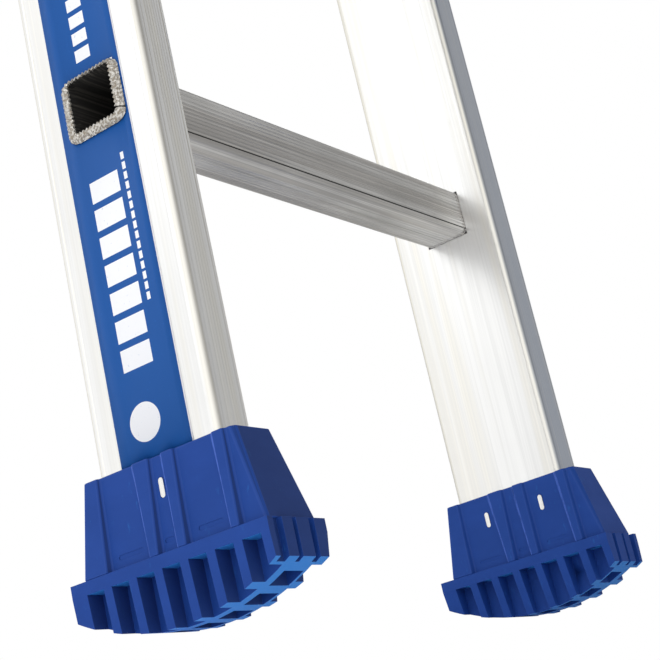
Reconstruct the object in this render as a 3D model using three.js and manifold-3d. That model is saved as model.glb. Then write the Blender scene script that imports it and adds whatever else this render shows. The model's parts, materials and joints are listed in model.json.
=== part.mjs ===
// Two-section push-up extension ladder, standing at its working angle.
// Millimetres. X runs left to right, Y towards the wall, Z up.
// Everything is laid out in the ladder's own frame (Z along the stiles, 0 at the
// lowest point of the soles), and the whole ladder is then leaned towards the wall.

import * as THREE from "three";
import { mergeVertices } from "three/addons/utils/BufferGeometryUtils.js";
import Module from "manifold-3d";

const wasm = await Module();
wasm.setup();

// ---- driving dimensions ----
const LEAN = THREE.MathUtils.degToRad(15);
const GAP = 0.3;                     // clearance between touching pieces

const OUTER_WIDTH = 340;
const STILE_WIDTH = 24;              // across the ladder
const STILE_DEPTH = 73;              // front to back
const STILE_WALL = 1.6;
const STILE_CORNER = 3;
const STILE_X = (OUTER_WIDTH - STILE_WIDTH) / 2;

const RUNG_SIZE = 28.5;
const RUNG_WALL = 1.6;
const RUNG_CORNER = 2.7;
const RUNG_Y = -2;                   // rung centre from the middle of the stile's depth
const RUNG_PITCH = 280;
const RUNG_COUNT = 8;
const FIRST_RUNG = 252;
const BEAD_SIZE = 38;                // swaged rim outside each stile
const BEAD_CORNER = 8;
const BEAD_THICKNESS = 2.2;

const BASE_BOTTOM = 35.3;
const BASE_TOP = 2322;

const SECTION_GAP = 4;               // between the two sections, front to back
const FLY_Y = -(STILE_DEPTH + SECTION_GAP);
const FLY_FIRST_RUNG = FIRST_RUNG + RUNG_PITCH;
const FLY_FOOT = 85;                 // fly stile below its first rung
const FLY_BOTTOM = FLY_FIRST_RUNG - FLY_FOOT;
const FLY_LENGTH = FLY_FOOT + RUNG_PITCH * (RUNG_COUNT - 1) + 105;

const SOLE_RADIUS = 116;             // the sole rocks on this arc
const SOLE_ARC_Y = -1;
const SOLE_FACET = THREE.MathUtils.degToRad(6);
const SOLE_FRONT = -58;
const SOLE_BACK = 56;
const SOLE_HALF_WIDTH = 20.4;
const SOLE_TOP = 31.7;
const TREAD_PITCH = 15;
const TREAD_ROWS = 7;
const TREAD_FIRST = 41.7;            // middle of the rearmost row
const SLOT_LENGTH = 10.2;
const SLOT_DEPTH = 10;
const SLOT_TOP = 26;
const POCKET_HALF_WIDTH = 6.6;
const POCKET_TOP = 14;

const SLEEVE_BOTTOM = 32;
const SLEEVE_TOP = 76;
const SLEEVE_FLOOR = 35;
const SLEEVE_FACE = 15;              // flat side panels, from the stile's middle
const SLEEVE_FRONT_TOP = -45.3;
const SLEEVE_FRONT_BOTTOM = -56;
const SLEEVE_BACK_TOP = 42.5;
const SLEEVE_BACK_BOTTOM = 47.5;

const GUIDE_PLATE = 3;
const GUIDE_CLEARANCE = 3.4;         // room for the rungs' rims under the guide's plate
const GUIDE_HEIGHT = 54;
const GUIDE_LIP = 20;

const HOOK_THICKNESS = 6;
const HOOK_SEAT = RUNG_SIZE / 2 + GAP;
const HOOK_TOP = 25.5;               // from the middle of the rung it hangs on
const CATCH_THICKNESS = 6;
const CATCH_PIVOT = { y: -50, z: -20 };
const CATCH_PIN_RADIUS = 4;

const LABEL_LOW = -22;
const LABEL_HIGH = 21.5;
const LABEL_THICKNESS = 0.25;

// ---- materials ----
function material(color, roughness, metalness) {
  return () => new THREE.MeshStandardMaterial({ color, roughness, metalness });
}

const stileAluminium = material(0xe2e2e0, 0.38, 0.9);
const rungAluminium = material(0xa9aaad, 0.42, 0.9);
const castAluminium = material(0xb4b6b8, 0.5, 0.85);
const zincSteel = material(0x9fa3a6, 0.4, 0.9);
const shoeBlue = material(0x274b93, 0.6, 0);
const soleBlue = material(0x2d55a3, 0.65, 0);
const labelBlue = material(0x2b5ca8, 0.45, 0);
const capBlue = material(0x23427f, 0.55, 0);

// ---- solids ----
function toSolid(geometry) {
  geometry.deleteAttribute("normal");
  geometry.deleteAttribute("uv");
  const merged = mergeVertices(geometry, 1e-4);
  return new wasm.Manifold(new wasm.Mesh({
    numProp: 3,
    vertProperties: Float32Array.from(merged.attributes.position.array),
    triVerts: Uint32Array.from(merged.index.array),
  }));
}

function toGeometry(solid) {
  const mesh = solid.getMesh();
  const geometry = new THREE.BufferGeometry();
  geometry.setAttribute("position", new THREE.BufferAttribute(mesh.vertProperties, 3));
  geometry.setIndex(new THREE.BufferAttribute(mesh.triVerts, 1));
  return geometry;
}

function box(x0, x1, y0, y1, z0, z1) {
  const geometry = new THREE.BoxGeometry(x1 - x0, y1 - y0, z1 - z0);
  return geometry.translate((x0 + x1) / 2, (y0 + y1) / 2, (z0 + z1) / 2);
}

function polygon(points) {
  return new THREE.Shape(points.map(([a, b]) => new THREE.Vector2(a, b)));
}

function roundedRectangle(width, height, radius) {
  const [x, y] = [width / 2 - radius, height / 2 - radius];
  const shape = new THREE.Shape();
  shape.absarc(x, y, radius, 0, Math.PI / 2);
  shape.absarc(-x, y, radius, Math.PI / 2, Math.PI);
  shape.absarc(-x, -y, radius, Math.PI, 1.5 * Math.PI);
  shape.absarc(x, -y, radius, 1.5 * Math.PI, 2 * Math.PI);
  shape.closePath();
  return shape;
}

function extrude(shape, depth, curveSegments = 1) {
  return new THREE.ExtrudeGeometry(shape, { depth, steps: 1, bevelEnabled: false, curveSegments });
}

// An outline in (y, z) pushed along X from x0 to x1.
function sidePlate(shape, x0, x1, curveSegments = 1) {
  const geometry = extrude(shape, x1 - x0, curveSegments);
  geometry.applyMatrix4(new THREE.Matrix4().set(
    0, 0, 1, x0,
    1, 0, 0, 0,
    0, 1, 0, 0,
    0, 0, 0, 1,
  ));
  return geometry;
}

function subtractAll(solid, geometries) {
  return geometries.reduce((rest, geometry) => rest.subtract(toSolid(geometry)), solid);
}

function rod(radius, x0, x1, y, z, segments = 20) {
  const geometry = new THREE.CylinderGeometry(radius, radius, x1 - x0, segments);
  return geometry.rotateZ(-Math.PI / 2).translate((x0 + x1) / 2, y, z);
}

// Orders the two ends of a span that is measured outwards from the middle.
function span(side, near, far) {
  return [side * near, side * far].sort((a, b) => a - b);
}

// ---- stiles and rungs ----
function stile(length, rungHeights) {
  const shape = roundedRectangle(STILE_WIDTH, STILE_DEPTH, STILE_CORNER);
  const inner = STILE_WALL * 2;
  shape.holes.push(roundedRectangle(STILE_WIDTH - inner, STILE_DEPTH - inner, STILE_CORNER - STILE_WALL));
  const hole = (RUNG_SIZE + 2 * GAP) / 2;
  const cutters = rungHeights.map((z) => box(
    -STILE_WIDTH, STILE_WIDTH, RUNG_Y - hole, RUNG_Y + hole, z - hole, z + hole));
  return toGeometry(subtractAll(toSolid(extrude(shape, length)), cutters));
}

function rung() {
  const end = OUTER_WIDTH / 2 + GAP + BEAD_THICKNESS;
  const bore = RUNG_SIZE - 2 * RUNG_WALL;
  let solid = toSolid(sidePlate(roundedRectangle(RUNG_SIZE, RUNG_SIZE, RUNG_CORNER), -end, end));
  for (const side of [-1, 1]) {
    const [x0, x1] = span(side, end - BEAD_THICKNESS, end);
    solid = solid.add(toSolid(sidePlate(roundedRectangle(BEAD_SIZE, BEAD_SIZE, BEAD_CORNER), x0, x1, 2)));
  }
  const hollow = sidePlate(roundedRectangle(bore, bore, RUNG_CORNER / 2), -end - 1, end + 1);
  return toGeometry(subtractAll(solid, [hollow]));
}

// A push-in end plug with a flange that covers the stile's cut end, pointing up.
function endCap() {
  const margin = 1.5;
  const flange = 8;
  const plugLength = 25;
  const plugWidth = STILE_WIDTH - 2 * STILE_WALL - 2 * GAP;
  const plugDepth = STILE_DEPTH - 2 * STILE_WALL - 2 * GAP;
  const head = extrude(roundedRectangle(
    STILE_WIDTH + 2 * margin, STILE_DEPTH + 2 * margin, STILE_CORNER + margin), flange);
  const plug = extrude(roundedRectangle(plugWidth, plugDepth, STILE_CORNER), plugLength + 1);
  return toGeometry(toSolid(head).add(toSolid(plug.translate(0, 0, -plugLength))));
}

// A printed band on a stile's outer face, notched round each rung's rim.
function label(z0, z1, rungHeights) {
  const outline = polygon([[LABEL_LOW, z0], [LABEL_HIGH, z0], [LABEL_HIGH, z1], [LABEL_LOW, z1]]);
  const notch = BEAD_SIZE / 2 + 2 * GAP;
  const cutters = rungHeights.map((z) => box(
    -1, 1, LABEL_LOW - 1, RUNG_Y + notch, z - notch, z + notch));
  return toGeometry(subtractAll(toSolid(sidePlate(outline, 0, LABEL_THICKNESS)), cutters));
}

// ---- shoes ----
function soleOutline() {
  const points = [[SOLE_BACK, SOLE_TOP], [SOLE_FRONT, SOLE_TOP]];
  const reach = Math.asin((SOLE_ARC_Y - SOLE_FRONT) / SOLE_RADIUS);
  const steps = Math.floor(reach / SOLE_FACET);
  const arcPoint = (angle) => [
    SOLE_ARC_Y + SOLE_RADIUS * Math.sin(angle), SOLE_RADIUS * (1 - Math.cos(angle))];
  points.push([SOLE_FRONT, arcPoint(-reach)[1]]);
  for (let step = -steps; step <= steps; step += 1) points.push(arcPoint(step * SOLE_FACET));
  points.push([SOLE_BACK, arcPoint(Math.asin((SOLE_BACK - SOLE_ARC_Y) / SOLE_RADIUS))[1]]);
  return polygon(points);
}

function treadCutters() {
  const cutters = [];
  const below = -5;
  for (let row = 0; row < TREAD_ROWS; row += 1) {
    const middle = TREAD_FIRST - row * TREAD_PITCH;
    const [y0, y1] = [middle - SLOT_LENGTH / 2, middle + SLOT_LENGTH / 2];
    for (const side of [-1, 1]) {
      const [x0, x1] = span(side, SOLE_HALF_WIDTH - SLOT_DEPTH, SOLE_HALF_WIDTH + 5);
      cutters.push(box(x0, x1, y0, y1, below, SLOT_TOP));
    }
    cutters.push(box(-POCKET_HALF_WIDTH, POCKET_HALF_WIDTH, y0, y1, below, POCKET_TOP));
  }
  return cutters;
}

// Three broad ridges across each end of the sole, parted by grooves.
function endGrooves() {
  const groove = { width: 3.4, depth: 2.6, spacing: 6.2 };
  const cutters = [];
  for (const side of [-1, 1]) {
    const [x0, x1] = span(side, groove.spacing - groove.width / 2, groove.spacing + groove.width / 2);
    cutters.push(box(x0, x1, SOLE_FRONT - 5, SOLE_FRONT + groove.depth, -5, SOLE_TOP + 5));
    cutters.push(box(x0, x1, SOLE_BACK - groove.depth, SOLE_BACK + 5, -5, SOLE_TOP + 5));
  }
  return cutters;
}

function sole() {
  const block = toSolid(sidePlate(soleOutline(), -SOLE_HALF_WIDTH, SOLE_HALF_WIDTH));
  return toGeometry(subtractAll(block, [...treadCutters(), ...endGrooves()]));
}

// The sleeve's flared outside: a side outline crossed with a front outline.
function sleeveOutside() {
  const side = polygon([
    [SLEEVE_BACK_BOTTOM, SLEEVE_BOTTOM], [SLEEVE_BACK_TOP, SLEEVE_TOP],
    [SLEEVE_FRONT_TOP, SLEEVE_TOP], [SLEEVE_FRONT_BOTTOM, SLEEVE_BOTTOM]]);
  const front = polygon([
    [-SOLE_HALF_WIDTH + 0.4, SLEEVE_BOTTOM], [SOLE_HALF_WIDTH - 0.4, SLEEVE_BOTTOM],
    [SLEEVE_FACE + GAP, SLEEVE_TOP], [-SLEEVE_FACE - GAP, SLEEVE_TOP]]);
  const across = extrude(front, 200).rotateX(Math.PI / 2).translate(0, 100, 0);
  return toSolid(sidePlate(side, -30, 30)).intersect(toSolid(across));
}

// The sunk panels between the ribs on both sides: [front edge, back edge] of each.
const SLEEVE_PANELS = [[10, 34.5], [-5.5, 3.5], [-35.5, -12], [-70, -41.5]];

function sleeve(side) {
  const cutters = [];
  for (const [y0, y1] of SLEEVE_PANELS) {
    cutters.push(box(-40, -SLEEVE_FACE, y0, y1, SLEEVE_BOTTOM - 1, SLEEVE_TOP + 1));
    cutters.push(box(SLEEVE_FACE, 40, y0, y1, SLEEVE_BOTTOM - 1, SLEEVE_TOP + 1));
  }
  const socketX = STILE_WIDTH / 2 + GAP;
  const socketY = STILE_DEPTH / 2 + GAP;
  cutters.push(box(-socketX, socketX, -socketY, socketY, SLEEVE_FLOOR, SLEEVE_TOP + 1));
  const window = { halfLength: 1.2, low: 56.5, high: 65.5 };
  for (const [face, y] of [[side, -1.8], [-side, 17], [-side, -20.5]]) {
    const [x0, x1] = span(face, 11, 30);
    cutters.push(box(x0, x1, y - window.halfLength, y + window.halfLength, window.low, window.high));
  }
  return toGeometry(subtractAll(sleeveOutside(), cutters));
}

// A blind rivet through the back of the sleeve.
function sleeveRivet() {
  const head = new THREE.CylinderGeometry(4, 5, 1.8, 20);
  return head.translate(0, 0.9, 0);
}

// ---- guides, hooks and catches ----
// A channel round the neighbouring section's stile. Its foot is fixed to the outer
// face of its own stile, at y = 0; `reach` is the signed way to the far stile.
function guide(side, reach) {
  const face = OUTER_WIDTH / 2;
  const plateIn = face + GUIDE_CLEARANCE;
  const plateOut = plateIn + GUIDE_PLATE;
  const away = Math.sign(reach);
  const lipNear = reach + away * (STILE_DEPTH / 2 + 1);
  const lipFar = lipNear + away * GUIDE_PLATE;
  const ordered = (a, b) => [Math.min(a, b), Math.max(a, b)];
  const solids = [
    [span(side, plateIn, plateOut), ordered(-away * 30, lipFar)],
    [span(side, face + GAP, plateIn + 1), ordered(-away * 30, away * 30)],
    [span(side, face - GUIDE_LIP, plateOut), ordered(lipNear, lipFar)],
  ].map(([[x0, x1], [y0, y1]]) => toSolid(box(x0, x1, y0, y1, 0, GUIDE_HEIGHT)));
  return toGeometry(solids.reduce((whole, solid) => whole.add(solid)));
}

// The hook plate hangs on the base rung behind it. Outline in (y, z) from that rung's
// middle, with a square hole for the fly's own rung.
function hook() {
  const back = RUNG_Y + RUNG_SIZE / 2 + 2 * GAP;
  const outline = polygon([
    [back, HOOK_SEAT], [back, -6], [back + 5, -8], [back + 6.5, -6], [back + 6.5, HOOK_TOP - 5],
    [back + 1.5, HOOK_TOP], [-18, HOOK_TOP], [-45, 48], [FLY_Y - 20, 48], [FLY_Y - 28, 40],
    [FLY_Y - 28, -30], [FLY_Y - 20, -38], [-44, -38], [-38, -32], [-38, 6], [-30, HOOK_SEAT]]);
  const hole = RUNG_SIZE + 2 * GAP;
  const plate = toSolid(sidePlate(outline, 0, HOOK_THICKNESS));
  const rungHole = sidePlate(roundedRectangle(hole, hole, RUNG_CORNER), -1, HOOK_THICKNESS + 1);
  const pinHole = rod(CATCH_PIN_RADIUS + GAP, -1, HOOK_THICKNESS + 1, CATCH_PIVOT.y, CATCH_PIVOT.z);
  return toGeometry(subtractAll(plate, [rungHole.translate(0, FLY_Y + RUNG_Y, 0), pinHole]));
}

// The sprung catch closes under the base rung. Outline in (y, z) from its pivot.
function rungCatch() {
  const fingerTop = -HOOK_SEAT - CATCH_PIVOT.z;
  const fingerLow = -24.8 - CATCH_PIVOT.z;
  const outline = new THREE.Shape();
  outline.moveTo(9, fingerLow);
  outline.lineTo(52, fingerLow);
  outline.lineTo(56, fingerLow + 4);
  outline.lineTo(54, fingerTop);
  outline.lineTo(28, fingerTop);
  outline.lineTo(6, fingerTop + 3);
  outline.absarc(0, 0, 8.5, Math.PI / 3, Math.PI * 0.95);
  outline.lineTo(-18, -22);
  outline.lineTo(-12, -26);
  outline.closePath();
  const plate = toSolid(sidePlate(outline, 0, CATCH_THICKNESS, 3));
  const bore = rod(CATCH_PIN_RADIUS + GAP, -1, CATCH_THICKNESS + 1, 0, 0);
  return toGeometry(subtractAll(plate, [bore]));
}

function catchPin(side) {
  const [x0, x1] = span(side, -1, HOOK_THICKNESS + CATCH_THICKNESS + 2 * GAP);
  const [h0, h1] = span(side, -3.5, -GAP - 0.7);
  const shaft = toSolid(rod(CATCH_PIN_RADIUS, x0, x1, 0, 0));
  return toGeometry(shaft.add(toSolid(rod(6.5, h0, h1, 0, 0))));
}

// ---- assembly ----
function place(group, name, geometry, surface, x = 0, y = 0, z = 0) {
  const mesh = new THREE.Mesh(geometry, surface());
  mesh.name = name;
  mesh.position.set(x, y, z);
  group.add(mesh);
  return mesh;
}

const SIDES = [["left", -1], ["right", 1]];
const outerFace = (side, thickness) => side * (OUTER_WIDTH / 2 + GAP) - (side < 0 ? thickness : 0);

function rungHeights(first, from = 0) {
  return Array.from({ length: RUNG_COUNT }, (_, i) => first + i * RUNG_PITCH - from);
}

function baseSection() {
  const section = new THREE.Group();
  const heights = rungHeights(FIRST_RUNG);
  const guideFoot = heights[RUNG_COUNT - 1] + BEAD_SIZE / 2 + 8;
  const labelTop = heights[RUNG_COUNT - 1] - BEAD_SIZE / 2 - 12;
  for (const [word, side] of SIDES) {
    const x = side * STILE_X;
    const holes = rungHeights(FIRST_RUNG, BASE_BOTTOM);
    place(section, `base_stile_${word}`, stile(BASE_TOP - BASE_BOTTOM, holes), stileAluminium, x, 0, BASE_BOTTOM);
    place(section, `shoe_sleeve_${word}`, sleeve(side), shoeBlue, x);
    place(section, `shoe_sole_${word}`, sole(), soleBlue, x);
    const tilt = Math.atan((SLEEVE_BACK_BOTTOM - SLEEVE_BACK_TOP) / (SLEEVE_TOP - SLEEVE_BOTTOM));
    const rivet = place(section, `shoe_rivet_${word}`, sleeveRivet(), zincSteel, x, 45.4, 54);
    rivet.rotation.x = tilt;
    place(section, `base_label_${word}`, label(SLEEVE_TOP + 2, labelTop, heights), labelBlue,
      outerFace(side, LABEL_THICKNESS));
    place(section, `base_cap_${word}`, endCap(), capBlue, x, 0, BASE_TOP + GAP);
    place(section, `base_guide_${word}`, guide(side, FLY_Y), castAluminium, 0, 0, guideFoot);
  }
  heights.forEach((z, i) => place(section, `base_rung_${i + 1}`, rung(), rungAluminium, 0, RUNG_Y, z));
  return section;
}

function flySection() {
  const section = new THREE.Group();
  const heights = rungHeights(FLY_FIRST_RUNG);
  const inner = OUTER_WIDTH / 2 - STILE_WIDTH;
  for (const [word, side] of SIDES) {
    const x = side * STILE_X;
    const holes = rungHeights(FLY_FIRST_RUNG, FLY_BOTTOM);
    place(section, `fly_stile_${word}`, stile(FLY_LENGTH, holes), stileAluminium, x, FLY_Y, FLY_BOTTOM);
    place(section, `fly_label_${word}`,
      label(FLY_BOTTOM + 66, FLY_BOTTOM + FLY_LENGTH - 30, heights), labelBlue,
      outerFace(side, LABEL_THICKNESS), FLY_Y);
    place(section, `fly_top_cap_${word}`, endCap(), capBlue, x, FLY_Y, FLY_BOTTOM + FLY_LENGTH + GAP);
    const foot = place(section, `fly_foot_cap_${word}`, endCap(), capBlue, x, FLY_Y, FLY_BOTTOM - GAP);
    foot.rotation.x = Math.PI;
    place(section, `fly_guide_${word}`, guide(side, -FLY_Y), castAluminium, 0, FLY_Y, FLY_BOTTOM + 6);
    const [hookX] = span(side, inner - GAP - HOOK_THICKNESS, inner - GAP);
    place(section, `hook_${word}`, hook(), castAluminium, hookX, 0, FLY_FIRST_RUNG);
    const catchOuter = inner - 3 * GAP - HOOK_THICKNESS;
    const [catchX] = span(side, catchOuter - CATCH_THICKNESS, catchOuter);
    place(section, `catch_${word}`, rungCatch(), zincSteel,
      catchX, CATCH_PIVOT.y, FLY_FIRST_RUNG + CATCH_PIVOT.z);
    place(section, `catch_pin_${word}`, catchPin(side), zincSteel,
      side * (catchOuter - CATCH_THICKNESS), CATCH_PIVOT.y, FLY_FIRST_RUNG + CATCH_PIVOT.z);
  }
  heights.forEach((z, i) => place(section, `fly_rung_${i + 1}`, rung(), rungAluminium, 0, FLY_Y + RUNG_Y, z));
  return section;
}

const ladder = new THREE.Group();
ladder.add(baseSection(), flySection());
ladder.rotation.x = -LEAN;

// The origin is on the floor, under the middle of the leaning ladder.
const bounds = new THREE.Box3().setFromObject(ladder, true);
const middle = bounds.getCenter(new THREE.Vector3());
ladder.position.set(-middle.x, -middle.y, -bounds.min.z);

const extensionLadder = new THREE.Group();
extensionLadder.add(ladder);

export default extensionLadder;
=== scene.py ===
"""The looks of a two-section aluminium extension ladder with blue plastic shoes."""

import json
import math

import bmesh
import bpy
from bpy.props import FloatProperty, FloatVectorProperty, IntProperty, PointerProperty
from bpy.types import Operator, Panel, PropertyGroup
from mathutils import Matrix, Vector


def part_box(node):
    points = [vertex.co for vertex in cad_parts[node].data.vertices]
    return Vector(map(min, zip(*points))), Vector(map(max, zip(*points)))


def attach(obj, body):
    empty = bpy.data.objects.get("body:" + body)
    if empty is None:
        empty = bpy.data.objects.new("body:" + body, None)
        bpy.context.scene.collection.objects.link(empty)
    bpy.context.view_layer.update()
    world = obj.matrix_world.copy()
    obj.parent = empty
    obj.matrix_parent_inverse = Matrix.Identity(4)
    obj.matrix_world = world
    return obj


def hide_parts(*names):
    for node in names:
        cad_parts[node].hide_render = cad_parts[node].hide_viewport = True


bl_info = {
    "name": "Extension ladder",
    "version": (1, 0, 0),
    "blender": (4, 5, 0),
    "location": "3D View > Sidebar > Ladder",
    "description": "Builds the stiles, rungs, shoes and fittings of an extension ladder",
    "category": "Object",
}

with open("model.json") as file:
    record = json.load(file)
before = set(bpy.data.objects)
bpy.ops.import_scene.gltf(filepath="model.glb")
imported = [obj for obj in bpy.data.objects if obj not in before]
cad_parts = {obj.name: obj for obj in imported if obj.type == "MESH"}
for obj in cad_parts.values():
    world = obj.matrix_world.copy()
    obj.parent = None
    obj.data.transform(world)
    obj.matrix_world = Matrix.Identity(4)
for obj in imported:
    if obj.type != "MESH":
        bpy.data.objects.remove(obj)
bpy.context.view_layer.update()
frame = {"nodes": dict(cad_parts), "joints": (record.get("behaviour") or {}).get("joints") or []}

MM = 0.001
SIDES = (("left", -1), ("right", 1))
SECTIONS = ("base", "fly")

# The ladder is shaped standing upright, with z along its stiles, and then leant over.
RUNG_Y = -2 * MM
FIRST_RUNG_HEIGHT = 252 * MM
slide = next(joint for joint in frame["joints"] if joint["name"] == "fly_slide")
LEAN = math.atan2(slide["axis"][1], slide["axis"][2])
LEAN_TURN = Matrix.Rotation(-LEAN, 4, "X")
first_rung_low, first_rung_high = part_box("base_rung_1")
LEAN_SHIFT = (first_rung_low + first_rung_high) / 2 - LEAN_TURN @ Vector((0, RUNG_Y, FIRST_RUNG_HEIGHT))
LEANT = Matrix.Translation(LEAN_SHIFT) @ LEAN_TURN
UPRIGHT = LEANT.inverted()


# ---- sizes and colours ----
class LadderMetalSizes(PropertyGroup):
    """Sizes of the stiles and rungs."""

    stile_corner: FloatProperty(
        name="Stile corner", description="Radius of the stile's long edges",
        default=4.2 * MM, unit="LENGTH")
    stile_wall: FloatProperty(
        name="Stile wall", description="Thickness of the stile's wall", default=1.6 * MM, unit="LENGTH")
    reed_depth: FloatProperty(
        name="Reed depth", description="Depth of the fine lines along the stile's narrow faces",
        default=0.17 * MM, unit="LENGTH")
    flute_depth: FloatProperty(
        name="Flute depth", description="Depth of the grip lines along a rung",
        default=0.38 * MM, unit="LENGTH")
    rung_corner: FloatProperty(
        name="Rung corner", description="Radius of the rung's long edges", default=2.7 * MM, unit="LENGTH")
    rung_wall: FloatProperty(
        name="Rung wall", description="Thickness of the rung's wall", default=1.6 * MM, unit="LENGTH")
    rim_reach: FloatProperty(
        name="Rim reach", description="How far the flared rim stands out round the rung",
        default=4.4 * MM, unit="LENGTH")
    rim_notch: FloatProperty(
        name="Rim notch", description="Depth of the notches pressed into the rung's flared rim",
        default=1.1 * MM, unit="LENGTH")
    label_thickness: FloatProperty(
        name="Band thickness", description="Thickness of the printed band", default=0.18 * MM, unit="LENGTH")


class LadderShoeSizes(PropertyGroup):
    """Sizes of the shoes at the foot of the ladder."""

    rib_reach: FloatProperty(
        name="Rib reach", description="How far the sleeve's ribs stand out from its middle at their foot",
        default=20.2 * MM, unit="LENGTH")
    panel_foot: FloatProperty(
        name="Panel foot", description="Distance of the sunk panels from the sleeve's middle at their foot",
        default=17 * MM, unit="LENGTH")
    slot_length: FloatProperty(
        name="Slot length", description="Length of each slot in the sole's side", default=10.2 * MM,
        unit="LENGTH")
    slot_depth: FloatProperty(
        name="Slot depth", description="Depth of each slot in the sole's side", default=10 * MM,
        unit="LENGTH")
    slot_pitch: FloatProperty(
        name="Slot pitch", description="Distance from one slot to the next", default=15 * MM, unit="LENGTH")
    slot_rows: IntProperty(
        name="Slot rows", description="Number of slots along each side", default=7, min=1, max=12)
    edge_rounding: FloatProperty(
        name="Edge rounding", description="Radius of the sole's moulded edges", default=0.45 * MM,
        unit="LENGTH")
    rib_rounding: FloatProperty(
        name="Rib rounding", description="Radius of the sleeve's moulded edges", default=0.7 * MM,
        unit="LENGTH")
    side_taper: FloatProperty(
        name="Side taper", description="How far the sole's sides lean in, for each metre downwards",
        default=0.22, min=0, max=0.4)


class LadderColours(PropertyGroup):
    """Colours of the finishes, as linear values."""

    stile: FloatVectorProperty(
        name="Stile", description="Satin aluminium of the stiles", default=(0.86, 0.86, 0.85),
        subtype="COLOR", min=0, max=1)
    rung: FloatVectorProperty(
        name="Rung", description="Duller aluminium of the rungs", default=(0.74, 0.73, 0.71),
        subtype="COLOR", min=0, max=1)
    shoe: FloatVectorProperty(
        name="Shoe", description="Blue of the moulded shoes", default=(0.013, 0.058, 0.29),
        subtype="COLOR", min=0, max=1)
    # The tread colour is painted light: downward faces near the ground take it as if lit from the floor
    # below; it also colours the scuffs.
    tread: FloatVectorProperty(
        name="Tread", description="Paler blue of the faces that touch the ground",
        default=(0.03, 0.235, 0.68), subtype="COLOR", min=0, max=1)
    band: FloatVectorProperty(
        name="Band", description="Blue of the printed band", default=(0.01, 0.088, 0.335),
        subtype="COLOR", min=0, max=1)
    print_white: FloatVectorProperty(
        name="Print", description="White of the plain bars on the band", default=(0.86, 0.87, 0.9),
        subtype="COLOR", min=0, max=1)


# ---- shader maths ----
class Value:
    """A socket that takes part in sums, so that shader maths reads as plain maths."""

    def __init__(self, finish, socket):
        self.finish = finish
        self.socket = socket

    def _with(self, operation, *others):
        return self.finish.maths(operation, self, *others)

    def __add__(self, other):
        return self._with("ADD", other)

    def __radd__(self, other):
        return self.finish.maths("ADD", other, self)

    def __sub__(self, other):
        return self._with("SUBTRACT", other)

    def __rsub__(self, other):
        return self.finish.maths("SUBTRACT", other, self)

    def __mul__(self, other):
        return self._with("MULTIPLY", other)

    def __rmul__(self, other):
        return self.finish.maths("MULTIPLY", other, self)

    def __truediv__(self, other):
        return self._with("DIVIDE", other)

    def __mod__(self, other):
        return self._with("FLOORED_MODULO", other)

    def __gt__(self, other):
        return self._with("GREATER_THAN", other)

    def __lt__(self, other):
        return self._with("LESS_THAN", other)

    def __abs__(self):
        return self._with("ABSOLUTE")

    def between(self, low, high):
        """One where this value lies between two others, and zero elsewhere."""
        return (self > low) * (self < high)

    def ramp(self, low, high):
        """Rises smoothly from zero at low to one at high."""
        node = self.finish.node(
            "ShaderNodeMapRange", {"interpolation_type": "SMOOTHSTEP"},
            {"Value": self, "From Min": low, "From Max": high})
        return Value(self.finish, node.outputs["Result"])


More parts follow.
